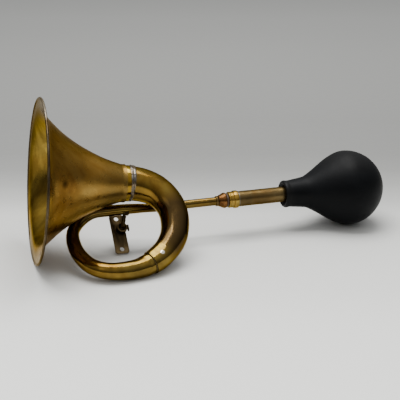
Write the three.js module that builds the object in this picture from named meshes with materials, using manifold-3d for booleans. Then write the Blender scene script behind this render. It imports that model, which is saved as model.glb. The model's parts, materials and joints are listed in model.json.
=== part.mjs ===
// A bulb horn: a looped brass trumpet with a flared bell, a thin lead pipe that screws on to a
// reed holder, and a rubber squeeze bulb. Millimetres, +Z up. The horn lies on its bell rim, the
// bottom of its loop and its bulb, with the bell's mouth towards -X and the bulb towards +X.
import * as THREE from "three";
import { mergeVertices } from "three/addons/utils/BufferGeometryUtils.js";
import Module from "manifold-3d";

const wasm = await Module();
wasm.setup();

// ---------------------------------------------------------------- driving dimensions
const GAP = 0.3; // clearance between pieces that touch
const WALL = 0.8; // sheet brass
const TUBE_SIDES = 18;
const BELL_SIDES = 32;
const TURNED_SIDES = 22;

// The bell lies along the horn's own x, its throat at x = 0 and its mouth at x = -BELL_LENGTH.
const BELL_LENGTH = 91;
const RIM_RADIUS = 85.2; // outside of the rolled rim
const RIM_WIRE_RADIUS = 1.3;
const BELL_OUTSIDE = [
  // [distance from the throat, radius]
  [2.2, 20.1],
  [6, 20.1],
  [9, 20.9],
  [21, 24.7],
  [34, 30],
  [47, 36.4],
  [59, 44.2],
  [69, 51.8],
  [77, 58.8],
  [83, 64.6],
  [87, 69.8],
  [89.5, 75.4],
  [90.6, 82.5],
];

// The tube's centre line and outer radius, from the throat round the loop to the lead pipe's line.
// x runs along the bell, z is across the loop and y is its offset behind the loop's plane.
const LOOP_ROUTE = [
  [-6, 0, 0, 18.2],
  [6, 0, 0, 18.2],
  [18.5, 0, -2.4, 17.6],
  [30.5, 0, -8, 16.6],
  [40, 0, -17.7, 15.7],
  [45.9, 0, -30.4, 15.2],
  [47.1, 0, -45, 14.8],
  [44.3, 0, -59.8, 14.3],
  [37.4, 0, -72.8, 13.5],
  [27.2, 0, -84, 12.5],
  [14.5, 0, -92.8, 11.2],
  [-0.2, 0, -98.3, 9.9],
  [-16.2, 0, -100.4, 8.9],
  [-31.2, 3, -98, 8.4],
  [-43, 9.5, -89.3, 7.9],
  [-51.5, 17, -74, 7.5],
  [-55, 24, -57, 7.1],
  [-53.6, 29.6, -41.7, 6.7],
  [-46.6, 32.5, -29.4, 6.4],
  [-36.6, 31.8, -21.1, 6.2],
  [-27.1, 29.3, -18.4, 6.1],
];
const LAP_AT = 9.85; // where the bend laps over the loop tube, counted in route points
const LAP_LENGTH = 0.45; // how far the loop tube runs on inside the bend, in route points
const LAP_STEP = 0.55; // the bend's end is swaged this much wider than the loop tube
const FERRULE_END = 1.7; // of the ferrule between bell and bend, along the bell's axis

// The horn lies rolled about its bell and pitched mouth up.
const HORN_ROLL = THREE.MathUtils.degToRad(48.8);
const HORN_PITCH = THREE.MathUtils.degToRad(6.5);

// The pipe's line and the stations along it, counted from where it passes under the throat.
const PIPE_YAW = THREE.MathUtils.degToRad(0.7);
const PIPE_PITCH = THREE.MathUtils.degToRad(-0.1);
const PIPE_FROM_THROAT = [-2.2, 5.9]; // x and y of station 0, seen from the throat
const ARM_STATION = 1.5;
const ARM_RISE = 1.7; // height of the loop tube over the pipe's line at the arm
const LOOP_TAPER = [
  // the loop tube's last stretch, as it sinks to the line: [station, outer radius, height over it]
  [-14, 6, 1.9],
  [0, 5.6, 1.8],
  [16, 5.1, 1.1],
  [34, 4.7, 0.2],
  [50, 4.6, 0],
];
const PIPE_START = 50.3;
const PIPE_END = 106.3;
const PIPE_RADIUS = 4.6;
const CONE_START = 104.5;
const CONE_END = 113;
const NUT_START = 115.6;
const NUT_END = 126.6;
const NUT_RADIUS = 8.8;
const NUT_TAIL_END = 136;
const THREAD_RADIUS = 5;
const STEM_RADIUS = 8.5;
const STEM_END = 200;
const REED_START = 122.3;
const REED_LENGTH = 28;
const REED_RADIUS = 5.3;
const REED_FLANGE = 3.2; // length of the round flange that plugs the coupling
const REED_CHANNEL_RADIUS = 2.3;
const SHALLOT_RADIUS = 3.6; // outside of the half-round trough under the tongue
const TONGUE_WIDTH = 6;
const TONGUE_THICKNESS = 0.35;
const TONGUE_FLAT = 6; // the clamped end, before the tongue starts to lift
const TONGUE_LIFT = 1.3; // how far its free end stands off the trough
const WEDGE_LENGTH = 3.6;
const NECK_START = 179.7;
const NECK_END = 205;
const BULB_CENTRE = 256.1;
const BULB_RADIUS = 42.1;
const RUBBER = 3;

// The bracket: an arm off the loop tube, held in a socket on a two-hole foot plate.
const FOOT_CENTRE = [-2.15, 44, -36.2]; // front face of the plate, in the horn's own frame
const FOOT_TILT = THREE.MathUtils.degToRad(-5.1);
const FOOT_LENGTH = 46;
const FOOT_WIDTH = 15;
const FOOT_THICKNESS = 1.8;
const FOOT_HOLE_RADIUS = 2.4;
const FOOT_HOLE_SPACING = 36;
const BOSS_CENTRE = [0.5, 44, -31.3];
const BOSS_RADIUS = 5.6;
const BOSS_BORE_RADIUS = 4;
const BOSS_HEIGHT = 6.4;
const ARM_RADIUS = 1.8;
const ARM_START = 7.7; // its top end, from the centre of the loop tube
const SADDLE_LENGTH = 6;
const SADDLE_THICKNESS = 1;
const SADDLE_HALF_ARC = THREE.MathUtils.degToRad(50);
const SCREW_RADIUS = 1.4;
const SCREW_HEAD_THICKNESS = 1.6;
const SCREW_EAR_RADIUS = 2.2;
const SCREW_EAR_OFFSET = 1.7;

// ---------------------------------------------------------------- materials
const brass = (color, roughness) =>
  new THREE.MeshStandardMaterial({ color, roughness, metalness: 1 });
const agedBrass = () => brass(0x8a6a24, 0.32);
const brownBrass = () => brass(0x5c4522, 0.4);
const brightBrass = () => brass(0xb59a45, 0.35);
const copperBrass = () => brass(0x8d5f3e, 0.38);
const solder = () => brass(0x8f8d88, 0.45);
const darkBrass = () => brass(0x3f3322, 0.5);
const rubber = () =>
  new THREE.MeshStandardMaterial({ color: 0x15181b, roughness: 0.7, metalness: 0 });
const leather = () =>
  new THREE.MeshStandardMaterial({ color: 0x2a1a10, roughness: 0.85, metalness: 0 });

// ---------------------------------------------------------------- shape helpers
function piece(name, geometry, material) {
  const mesh = new THREE.Mesh(geometry, material);
  mesh.name = name;
  return mesh;
}

function toSolid(geometry) {
  const bare = geometry.clone();
  bare.deleteAttribute("normal");
  bare.deleteAttribute("uv");
  const merged = mergeVertices(bare, 1e-4);
  return new wasm.Manifold(
    new wasm.Mesh({
      numProp: 3,
      vertProperties: new Float32Array(merged.attributes.position.array),
      triVerts: new Uint32Array(merged.index.array),
    }),
  );
}

function toGeometry(solid) {
  const mesh = solid.getMesh();
  const geometry = new THREE.BufferGeometry();
  geometry.setAttribute("position", new THREE.BufferAttribute(mesh.vertProperties, 3));
  geometry.setIndex(new THREE.BufferAttribute(mesh.triVerts, 1));
  return geometry;
}

// A turned piece on the x axis. The profile lists [x, radius], either way round, and closes on
// itself.
function turned(profile, sides = TURNED_SIDES) {
  const points = profile.map(([x, radius]) => new THREE.Vector2(radius, x));
  if (THREE.ShapeUtils.area(points) < 0) points.reverse();
  const onAxis = points[0].x === 0 && points[points.length - 1].x === 0;
  if (!onAxis) points.push(points[0].clone());
  const geometry = new THREE.LatheGeometry(points, sides);
  geometry.rotateZ(-Math.PI / 2);
  return geometry;
}

// A turned sleeve of one inner and one outer radius.
function sleeve(from, to, inner, outer, sides = TURNED_SIDES) {
  return turned(
    [
      [from, inner],
      [from, outer],
      [to, outer],
      [to, inner],
    ],
    sides,
  );
}

// The outside profile of a shell, and back along its inside, one wall thickness in from it.
// inwards is 1 where the outside runs towards +x, and -1 where it runs towards -x.
function shellProfile(outside, wall, inwards) {
  const inside = outside.map(([x, radius], i) => {
    const [backX, backRadius] = outside[Math.max(i - 1, 0)];
    const [onX, onRadius] = outside[Math.min(i + 1, outside.length - 1)];
    const run = new THREE.Vector2(onX - backX, onRadius - backRadius).normalize();
    return [x + inwards * wall * run.y, radius - inwards * wall * run.x];
  });
  inside[0][0] = outside[0][0];
  return [...outside, ...inside.reverse()];
}

// Reads a value off a list of [place, value] rows.
function readTable(rows, place) {
  const next = rows.findIndex((row) => row[0] >= place);
  if (next <= 0) return rows[next < 0 ? rows.length - 1 : 0][1];
  const [from, a] = rows[next - 1];
  const [to, b] = rows[next];
  return THREE.MathUtils.mapLinear(place, from, to, a, b);
}

// A tube that follows a curve from parameter t0 to t1. outerAt and innerAt give its radii at t.
// With no innerAt it is a solid bar.
function sweptTube({ curve, t0 = 0, t1 = 1, outerAt, innerAt, steps, sides = TUBE_SIDES }) {
  const positions = [];
  const index = [];
  const tangent = curve.getTangent(t0);
  const side = new THREE.Vector3(0, 1, 0).cross(tangent).normalize();
  const turn = new THREE.Quaternion();
  const rings = [];
  for (let i = 0; i <= steps; i++) {
    const t = THREE.MathUtils.lerp(t0, t1, i / steps);
    const ahead = curve.getTangent(t);
    turn.setFromUnitVectors(tangent, ahead);
    side.applyQuaternion(turn).normalize();
    tangent.copy(ahead);
    rings.push({ centre: curve.getPoint(t), side: side.clone(), up: ahead.clone().cross(side), t });
  }
  const addRings = (radiusAt) => {
    const first = positions.length / 3;
    for (const { centre, side: across, up, t } of rings) {
      for (let j = 0; j < sides; j++) {
        const angle = (j / sides) * Math.PI * 2;
        const point = centre.clone();
        point.addScaledVector(across, Math.cos(angle) * radiusAt(t));
        point.addScaledVector(up, Math.sin(angle) * radiusAt(t));
        positions.push(point.x, point.y, point.z);
      }
    }
    return first;
  };
  const addWall = (first, outwards) => {
    for (let i = 0; i < steps; i++) {
      for (let j = 0; j < sides; j++) {
        const a = first + i * sides + j;
        const b = first + i * sides + ((j + 1) % sides);
        const c = a + sides;
        const d = b + sides;
        if (outwards) index.push(a, b, c, b, d, c);
        else index.push(a, c, b, b, c, d);
      }
    }
  };
  const outer = addRings(outerAt);
  addWall(outer, true);
  const last = steps * sides;
  if (innerAt) {
    const inner = addRings(innerAt);
    addWall(inner, false);
    for (let j = 0; j < sides; j++) {
      const k = (j + 1) % sides;
      index.push(outer + j, inner + j, outer + k, outer + k, inner + j, inner + k);
      index.push(outer + last + j, outer + last + k, inner + last + j);
      index.push(outer + last + k, inner + last + k, inner + last + j);
    }
  } else {
    for (let j = 1; j < sides - 1; j++) {
      index.push(outer, outer + j + 1, outer + j);
      index.push(outer + last, outer + last + j, outer + last + j + 1);
    }
  }
  const geometry = new THREE.BufferGeometry();
  geometry.setAttribute("position", new THREE.Float32BufferAttribute(positions, 3));
  geometry.setIndex(index);
  return geometry;
}

// ---------------------------------------------------------------- bell
function makeBell(horn) {
  const outside = BELL_OUTSIDE.map(([distance, radius]) => [-distance, radius]);
  horn.add(piece("bell", turned(shellProfile(outside, WALL, -1), BELL_SIDES), agedBrass()));

  const wire = new THREE.TorusGeometry(RIM_RADIUS - RIM_WIRE_RADIUS, RIM_WIRE_RADIUS, 8, BELL_SIDES);
  wire.rotateY(Math.PI / 2);
  wire.translate(-BELL_LENGTH, 0, 0);
  horn.add(piece("bell_rim_wire", wire, solder()));

  const ferruleInner = LOOP_ROUTE[0][3] + GAP;
  const ferruleOuter = readTable(BELL_OUTSIDE, 0) - WALL - GAP;
  const ferrule = sleeve(LOOP_ROUTE[0][0], FERRULE_END, ferruleInner, ferruleOuter, BELL_SIDES);
  horn.add(piece("throat_ferrule", ferrule, brightBrass()));
}

// ---------------------------------------------------------------- loop
function makeLoop(horn, stationPoint) {
  const points = LOOP_ROUTE.map(([x, y, z]) => new THREE.Vector3(x, y, z));
  points.push(...LOOP_TAPER.map(([station, , height]) => stationPoint(station, height)));
  const radii = [...LOOP_ROUTE.map((row) => row[3]), ...LOOP_TAPER.map((row) => row[1])];
  const radiusPoints = radii.map((radius) => new THREE.Vector3(radius, 0, 0));
  const loopCurve = new THREE.CatmullRomCurve3(points, false, "catmullrom", 0.5);
  const radiusCurve = new THREE.CatmullRomCurve3(radiusPoints, false, "catmullrom", 0.5);
  const routeSpan = points.length - 1;
  const loopRadius = (t) => radiusCurve.getPoint(t).x;
  const lap = LAP_AT / routeSpan;
  const lapInside = (LAP_AT - LAP_LENGTH) / routeSpan;
  const swage = (t) => LAP_STEP * THREE.MathUtils.smoothstep(t, lapInside - 0.04, lapInside);
  const bend = sweptTube({
    curve: loopCurve,
    t1: lap,
    outerAt: (t) => loopRadius(t) + swage(t),
    innerAt: (t) => loopRadius(t) - WALL + swage(t),
    steps: 22,
    sides: 20,
  });
  horn.add(piece("upper_bend", bend, agedBrass()));

  const bendWallInside = (t) => loopRadius(t) + LAP_STEP - WALL;
  const slim = (t) => 1 - THREE.MathUtils.smoothstep(t, lap - 0.005, lap + 0.02);
  const loopOuter = (t) => THREE.MathUtils.lerp(loopRadius(t), bendWallInside(t) - GAP, slim(t));
  const tube = sweptTube({
    curve: loopCurve,
    t0: lapInside,
    outerAt: loopOuter,
    innerAt: (t) => loopOuter(t) - WALL,
    steps: 34,
    sides: 16,
  });
  horn.add(piece("loop_tube", tube, agedBrass()));

  const solderRing = (name, from, to, rise) => {
    const ring = sweptTube({
      curve: loopCurve,
      t0: from / routeSpan,
      t1: to / routeSpan,
      outerAt: (t) => loopRadius(t) + GAP + rise,
      innerAt: (t) => loopRadius(t) + GAP,
      steps: 2,
      sides: 20,
    });
    horn.add(piece(name, ring, solder()));
  };
  solderRing("throat_solder", 0.7, 1.14, 0.5);
  solderRing("lap_solder", LAP_AT + 0.04, LAP_AT + 0.14, 0.35);
}

// ---------------------------------------------------------------- lead pipe and coupling
function makePipe(line) {
  const pipe = sleeve(PIPE_START, PIPE_END, PIPE_RADIUS - WALL, PIPE_RADIUS, TUBE_SIDES);
  line.add(piece("lead_pipe", pipe, agedBrass()));

  const ferruleInner = readTable(LOOP_TAPER, PIPE_START - 4) + GAP;
  const ferrule = sleeve(PIPE_START - 4, PIPE_START + 4, ferruleInner, ferruleInner + 0.6);
  line.add(piece("pipe_ferrule", ferrule, brownBrass()));

  const boreRadius = PIPE_RADIUS + GAP;
  const collar = sleeve(CONE_START - 2.8, CONE_START - GAP, boreRadius, boreRadius + 0.7);
  line.add(piece("pipe_collar", collar, brownBrass()));

  const threadBore = THREAD_RADIUS + GAP;
  const cone = turned([
    [CONE_START, boreRadius],
    [CONE_START, 5.6],
    [CONE_START + 2.5, 6.8],
    [CONE_START + 5.5, 8.2],
    [CONE_END, 8.4],
    [CONE_END, threadBore],
    [PIPE_END + GAP, threadBore],
    [PIPE_END + GAP, boreRadius],
  ]);
  line.add(piece("coupling_cone", cone, copperBrass()));

  const washer = sleeve(CONE_END + GAP, NUT_START - GAP, threadBore, 7.7);
  line.add(piece("sealing_washer", washer, leather()));
}

function makeReedHolder(line) {
  const plug = sleeve(CONE_START + 2.8, REED_START - GAP, 2.8, THREAD_RADIUS);
  line.add(piece("threaded_plug", plug, brightBrass()));

  const plugBore = THREAD_RADIUS + GAP;
  const tailBore = REED_RADIUS + GAP;
  const tailRadius = STEM_RADIUS - WALL - GAP;
  const nut = turned([
    [NUT_START, plugBore],
    [NUT_START, NUT_RADIUS - 0.5],
    [NUT_START + 0.6, NUT_RADIUS],
    [NUT_END, NUT_RADIUS],
    [NUT_END, tailRadius],
    [NUT_TAIL_END, tailRadius],
    [NUT_TAIL_END, tailBore],
    [REED_START - GAP, tailBore],
    [REED_START - GAP, plugBore],
  ]);
  line.add(piece("coupling_nut", nut, brightBrass()));

  const ringInner = NUT_RADIUS + GAP;
  const ring = turned([
    [NUT_START + 5.8, ringInner],
    [NUT_START + 5.8, ringInner + 0.3],
    [NUT_START + 6.8, ringInner + 0.6],
    [NUT_END - 1, ringInner + 0.6],
    [NUT_END, ringInner + 0.3],
    [NUT_END, ringInner],
  ]);
  line.add(piece("coupling_ring", ring, brightBrass()));

  const stem = sleeve(NUT_END + GAP, STEM_END, STEM_RADIUS - WALL, STEM_RADIUS);
  line.add(piece("stem_tube", stem, brownBrass()));
}

// ---------------------------------------------------------------- reed
function alongX(shape, length) {
  const geometry = new THREE.ExtrudeGeometry(shape, {
    depth: length,
    bevelEnabled: false,
    curveSegments: 8,
  });
  geometry.rotateY(Math.PI / 2);
  geometry.rotateX(Math.PI / 2);
  return geometry;
}

// A side view in x and z, made solid across y.
function acrossY(shape, width) {
  const geometry = new THREE.ExtrudeGeometry(shape, { depth: width, bevelEnabled: false });
  geometry.rotateX(Math.PI / 2);
  geometry.translate(0, width / 2, 0);
  return geometry;
}

function makeReed(line) {
  const flangeEnd = REED_START + REED_FLANGE;
  const reedEnd = REED_START + REED_LENGTH;
  const flange = sleeve(REED_START, flangeEnd, REED_CHANNEL_RADIUS, REED_RADIUS);
  const overlap = 0.1;
  const tipLength = 1.4;
  const troughSection = new THREE.Shape();
  troughSection.absarc(0, 0, SHALLOT_RADIUS, Math.PI, 2 * Math.PI, false);
  troughSection.absarc(0, 0, REED_CHANNEL_RADIUS, 2 * Math.PI, Math.PI, true);
  const trough = alongX(troughSection, REED_LENGTH - REED_FLANGE);
  trough.translate(flangeEnd - overlap, 0, 0);
  const tipSection = new THREE.Shape();
  tipSection.absarc(0, 0, SHALLOT_RADIUS, Math.PI, 2 * Math.PI, false);
  const tip = alongX(tipSection, tipLength);
  tip.translate(reedEnd - tipLength, 0, 0);
  const block = toSolid(flange).add(toSolid(trough)).add(toSolid(tip));
  line.add(piece("reed_block", toGeometry(block), brightBrass()));

  const tongueLength = REED_LENGTH - REED_FLANGE;
  const curveStart = tongueLength * 0.65;
  const side = new THREE.Shape();
  side.moveTo(0, 0);
  side.lineTo(TONGUE_FLAT, 0);
  side.quadraticCurveTo(curveStart, 0, tongueLength, TONGUE_LIFT);
  side.lineTo(tongueLength, TONGUE_LIFT + TONGUE_THICKNESS);
  side.quadraticCurveTo(curveStart, TONGUE_THICKNESS, TONGUE_FLAT, TONGUE_THICKNESS);
  side.lineTo(0, TONGUE_THICKNESS);
  side.closePath();
  const tongue = acrossY(side, TONGUE_WIDTH);
  tongue.translate(flangeEnd + GAP, 0, GAP);
  line.add(piece("reed_tongue", tongue, brightBrass()));

  const wedgeSide = new THREE.Shape();
  wedgeSide.moveTo(0, 0);
  wedgeSide.lineTo(WEDGE_LENGTH, 0);
  wedgeSide.lineTo(WEDGE_LENGTH, 1.2);
  wedgeSide.lineTo(0, 2.2);
  wedgeSide.closePath();
  const wedge = acrossY(wedgeSide, TONGUE_WIDTH);
  wedge.translate(flangeEnd + GAP, 0, 2 * GAP + TONGUE_THICKNESS);
  line.add(piece("reed_wedge", wedge, brownBrass()));
}

// ---------------------------------------------------------------- bulb
function bulbOutside() {
  const shoulder = new THREE.SplineCurve([
    new THREE.Vector2(NECK_END + GAP, 17.25),
    new THREE.Vector2(BULB_CENTRE - 40.8, 22.1),
    new THREE.Vector2(BULB_CENTRE - 29.4, 29.3),
    new THREE.Vector2(BULB_CENTRE - 16.5, 37),
    new THREE.Vector2(BULB_CENTRE, BULB_RADIUS),
  ]);
  const profile = shoulder.getPoints(8).map((point) => [point.x, point.y]);
  const domeSteps = 6;
  for (let i = 1; i <= domeSteps; i++) {
    const angle = ((i / domeSteps) * Math.PI) / 2;
    const radius = i === domeSteps ? 0 : BULB_RADIUS * Math.cos(angle);
    profile.push([BULB_CENTRE + BULB_RADIUS * Math.sin(angle), radius]);
  }
  return profile;
}

function makeBulb(line) {
  const inner = STEM_RADIUS + GAP;
  const neck = turned([
    [NECK_START, 12.6],
    [NECK_START + 0.3, 13.9],
    [NECK_START + 1.4, 14.8],
    [NECK_START + 3.4, 15.1],
    [NECK_START + 7, 14.8],
    [NECK_START + 15.5, 15.8],
    [NECK_END, 17.2],
    [NECK_END, 17.2 - RUBBER],
    [STEM_END + 1, inner],
    [NECK_START + 7, inner],
    [NECK_START + 3, 9.6],
    [NECK_START + 0.6, 11.9],
  ]);
  line.add(piece("bulb_neck", neck, rubber()));

  const outside = bulbOutside();
  const inside = outside.map(([x, radius]) => [
    BULB_CENTRE + (x - BULB_CENTRE) * (x > BULB_CENTRE ? 1 - RUBBER / BULB_RADIUS : 1),
    Math.max(radius - RUBBER, 0),
  ]);
  inside[inside.length - 1] = [BULB_CENTRE + BULB_RADIUS - RUBBER, 0];
  const shell = toSolid(turned([...inside.reverse(), ...outside]));
  const halfRoom = 60;
  for (const [name, side] of [
    ["bulb_left_half", 1],
    ["bulb_right_half", -1],
  ]) {
    const cut = new THREE.BoxGeometry(200, halfRoom, 2 * halfRoom);
    cut.translate(BULB_CENTRE, (-side * halfRoom) / 2 + (side * GAP) / 2, 0);
    line.add(piece(name, toGeometry(shell.subtract(toSolid(cut))), rubber()));
  }
}

// ---------------------------------------------------------------- bracket
function makeFoot(horn) {
  const foot = new THREE.Group();
  foot.position.set(...FOOT_CENTRE);
  foot.rotation.set(-Math.PI / 2, 0, FOOT_TILT);
  horn.add(foot);
  const halfWidth = FOOT_WIDTH / 2;
  const halfLength = FOOT_LENGTH / 2;
  const corner = 3;
  const outline = new THREE.Shape();
  outline.absarc(halfWidth - corner, halfLength - corner, corner, 0, Math.PI / 2, false);
  outline.absarc(corner - halfWidth, halfLength - corner, corner, Math.PI / 2, Math.PI, false);
  outline.absarc(corner - halfWidth, corner - halfLength, corner, Math.PI, Math.PI * 1.5, false);
  outline.absarc(halfWidth - corner, corner - halfLength, corner, Math.PI * 1.5, Math.PI * 2, false);
  for (const end of [-1, 1]) {
    const hole = new THREE.Path();
    hole.absarc(0, (end * FOOT_HOLE_SPACING) / 2, FOOT_HOLE_RADIUS, 0, Math.PI * 2, true);
    outline.holes.push(hole);
  }
  const plate = new THREE.ExtrudeGeometry(outline, {
    depth: FOOT_THICKNESS,
    bevelEnabled: false,
    curveSegments: 6,
  });
  foot.add(piece("foot_plate", plate, darkBrass()));

  // The socket and its thumb screw share one frame, z into the plate and x along the screw.
  const socket = new THREE.Group();
  socket.position.set(...BOSS_CENTRE);
  socket.rotation.copy(foot.rotation);
  horn.add(socket);
  const bossDepth = BOSS_HEIGHT - GAP;
  const boss = turned(
    [
      [0, BOSS_BORE_RADIUS],
      [0, BOSS_RADIUS - 0.5],
      [0.5, BOSS_RADIUS],
      [bossDepth, BOSS_RADIUS],
      [bossDepth, BOSS_BORE_RADIUS],
    ],
    24,
  );
  boss.rotateY(-Math.PI / 2);
  boss.translate(0, 0, -BOSS_HEIGHT);
  const screwHole = new THREE.CylinderGeometry(SCREW_RADIUS + GAP, SCREW_RADIUS + GAP, 8, 12);
  screwHole.rotateZ(Math.PI / 2);
  screwHole.translate(BOSS_RADIUS, 0, -BOSS_HEIGHT / 2);
  const bored = toSolid(boss).subtract(toSolid(screwHole));
  socket.add(piece("socket_boss", toGeometry(bored), darkBrass()));

  const headStart = BOSS_RADIUS + 0.4;
  const shankEnd = headStart + SCREW_HEAD_THICKNESS / 2;
  const shankLength = shankEnd - BOSS_BORE_RADIUS;
  const shank = new THREE.CylinderGeometry(SCREW_RADIUS, SCREW_RADIUS, shankLength, 12);
  shank.rotateZ(Math.PI / 2);
  shank.translate(shankEnd - shankLength / 2, 0, 0);
  const waist = new THREE.CylinderGeometry(2, 2, SCREW_HEAD_THICKNESS, 12);
  let head = toSolid(waist);
  for (const end of [-1, 1]) {
    const ear = new THREE.CylinderGeometry(SCREW_EAR_RADIUS, SCREW_EAR_RADIUS, SCREW_HEAD_THICKNESS, 16);
    ear.translate(end * SCREW_EAR_OFFSET, 0, 0);
    head = head.add(toSolid(ear));
  }
  const headGeometry = toGeometry(head);
  headGeometry.rotateX(Math.PI / 2);
  headGeometry.rotateY(Math.PI / 2);
  headGeometry.rotateX(Math.PI / 2);
  headGeometry.translate(headStart + SCREW_HEAD_THICKNESS / 2, 0, 0);
  const screw = toGeometry(toSolid(shank).add(toSolid(headGeometry)));
  screw.translate(0, 0, -BOSS_HEIGHT / 2);
  socket.add(piece("thumb_screw", screw, darkBrass()));
}

function makeArm(horn, armRoot) {
  const [bossX, bossY, bossZ] = BOSS_CENTRE;
  const mouthY = bossY - BOSS_HEIGHT;
  const elbow = new THREE.Vector3(bossX, mouthY - 4, bossZ + 0.4);
  const along = elbow.clone().sub(armRoot).normalize();
  const curve = new THREE.CatmullRomCurve3([
    armRoot.clone().addScaledVector(along, ARM_START),
    armRoot.clone().addScaledVector(along, 13),
    elbow,
    new THREE.Vector3(bossX, mouthY, bossZ),
    new THREE.Vector3(bossX, bossY - 1, bossZ),
  ]);
  const rod = sweptTube({ curve, outerAt: () => ARM_RADIUS, steps: 14, sides: 12 });
  const spigotRadius = BOSS_BORE_RADIUS - GAP - 0.1;
  const spigot = new THREE.CylinderGeometry(spigotRadius, spigotRadius, BOSS_HEIGHT - 1, 20);
  spigot.translate(bossX, bossY - (BOSS_HEIGHT - 1) / 2 - 0.5, bossZ);
  const arm = toSolid(rod).add(toSolid(spigot));
  horn.add(piece("bracket_arm", toGeometry(arm), brownBrass()));
  return along;
}

function makeSaddle(line, direction) {
  const start = ARM_STATION - SADDLE_LENGTH / 2;
  const inner = readTable(LOOP_TAPER, start) + GAP;
  const outer = inner + SADDLE_THICKNESS;
  const middle = Math.atan2(direction.z, direction.y);
  const arc = new THREE.Shape();
  arc.absarc(0, 0, outer, middle - SADDLE_HALF_ARC, middle + SADDLE_HALF_ARC, false);
  arc.absarc(0, 0, inner, middle + SADDLE_HALF_ARC, middle - SADDLE_HALF_ARC, true);
  const saddle = alongX(arc, SADDLE_LENGTH);
  saddle.translate(start, 0, ARM_RISE);
  line.add(piece("arm_saddle", saddle, brownBrass()));
}

// ---------------------------------------------------------------- assembly
const bulbHorn = new THREE.Group();
const horn = new THREE.Group();
const throatHeight = RIM_RADIUS * Math.cos(HORN_PITCH) - BELL_LENGTH * Math.sin(HORN_PITCH);
horn.position.set(0, 0, throatHeight + RIM_WIRE_RADIUS * (1 - Math.cos(HORN_PITCH)));
horn.rotation.set(-HORN_ROLL, HORN_PITCH, 0, "YXZ");
const line = new THREE.Group();
line.position.set(...PIPE_FROM_THROAT, BULB_RADIUS + BULB_CENTRE * Math.sin(PIPE_PITCH));
line.rotation.set(0, PIPE_PITCH, PIPE_YAW, "ZYX");
bulbHorn.add(horn, line);
bulbHorn.updateMatrixWorld(true);

// A station on the pipe's line, in the horn's own frame.
const stationPoint = (station, height = 0) =>
  horn.worldToLocal(line.localToWorld(new THREE.Vector3(station, 0, height)));

makeBell(horn);
makeLoop(horn, stationPoint);
makePipe(line);
makeReedHolder(line);
makeReed(line);
makeBulb(line);
makeFoot(horn);
const armDirection = makeArm(horn, stationPoint(ARM_STATION, ARM_RISE));
const toLine = armDirection.clone().applyQuaternion(horn.quaternion);
makeSaddle(line, toLine.applyQuaternion(line.quaternion.clone().invert()));

// The origin is the middle of the bottom of the whole horn's box.
const box = new THREE.Box3().setFromObject(bulbHorn, true);
const middle = box.getCenter(new THREE.Vector3());
bulbHorn.position.set(-middle.x, -middle.y, -box.min.z);

export default bulbHorn;
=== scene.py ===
"""The looks of a bulb horn: a looped brass trumpet, a reed holder and a rubber squeeze bulb.

Each piece is built in one of two local frames, in millimetres. The horn frame has its origin at the
bell's throat and its x axis along the bell, with the mouth at -x. The line frame runs along the pipe,
and its x is the station along it. Both are found from the joints, so the looks sit on the CAD part.
"""

import json
import math

import bmesh
import bpy
import numpy as np
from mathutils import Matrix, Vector, noise


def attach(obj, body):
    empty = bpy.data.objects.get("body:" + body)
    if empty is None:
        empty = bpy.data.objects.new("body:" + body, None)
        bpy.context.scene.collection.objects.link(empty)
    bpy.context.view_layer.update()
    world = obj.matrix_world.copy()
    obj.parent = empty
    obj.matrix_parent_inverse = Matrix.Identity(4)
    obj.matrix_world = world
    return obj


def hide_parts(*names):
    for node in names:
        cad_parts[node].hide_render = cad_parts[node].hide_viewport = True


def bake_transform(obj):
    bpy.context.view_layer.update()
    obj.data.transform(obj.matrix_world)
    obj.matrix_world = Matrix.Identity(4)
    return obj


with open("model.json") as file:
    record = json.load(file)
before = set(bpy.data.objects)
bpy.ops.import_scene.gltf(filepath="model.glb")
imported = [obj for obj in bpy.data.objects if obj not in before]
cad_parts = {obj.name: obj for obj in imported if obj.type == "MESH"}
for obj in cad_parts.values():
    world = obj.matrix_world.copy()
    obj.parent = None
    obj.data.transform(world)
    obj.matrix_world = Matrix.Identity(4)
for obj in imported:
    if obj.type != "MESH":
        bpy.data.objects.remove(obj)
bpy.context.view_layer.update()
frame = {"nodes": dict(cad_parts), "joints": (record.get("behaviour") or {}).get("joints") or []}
JOINTS = {joint["name"]: joint for joint in frame["joints"]}
MM = 0.001
GAP = 0.3  # clearance between pieces that touch, in millimetres

# ------------------------------------------------------------------ sizes, in millimetres
WALL = 0.8
BELL_LENGTH = 91
RIM_RADIUS = 85.2
RIM_WIRE_RADIUS = 1.3
BELL_OUTSIDE = [  # distance from the throat, radius
    (2.2, 20.1), (6, 20.1), (9, 20.9), (21, 24.7), (34, 30), (47, 36.4), (59, 44.2),
    (69, 51.8), (77, 58.8), (83, 64.6), (87, 69.8), (89.5, 75.4), (90.6, 82.5),
]
LOOP_ROUTE = [  # x, y, z and outer radius, in the horn frame
    (-6, 0, 0, 18.2), (6, 0, 0, 18.2), (18.5, 0, -2.4, 17.6), (30.5, 0, -8, 16.6),
    (40, 0, -17.7, 15.7), (45.9, 0, -30.4, 15.2), (47.1, 0, -45, 14.8), (44.3, 0, -59.8, 14.3),
    (37.4, 0, -72.8, 13.5), (27.2, 0, -84, 12.5), (14.5, 0, -92.8, 11.2), (-0.2, 0, -98.3, 9.9),
    (-16.2, 0, -100.4, 8.9), (-31.2, 3, -98, 8.4), (-43, 9.5, -89.3, 7.9),
    (-51.5, 17, -74, 7.5), (-55, 24, -57, 7.1), (-53.6, 29.6, -41.7, 6.7),
    (-46.6, 32.5, -29.4, 6.4), (-36.6, 31.8, -21.1, 6.2), (-27.1, 29.3, -18.4, 6.1),
]
LOOP_TAPER = [  # station, outer radius, height over the pipe's line
    (-14, 6, 1.9), (0, 5.6, 1.8), (16, 5.1, 1.1), (34, 4.7, 0.2), (50, 4.6, 0),
]
LAP_AT = 9.85  # where the bend laps over the loop tube, in route points
LAP_LENGTH = 0.45
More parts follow.
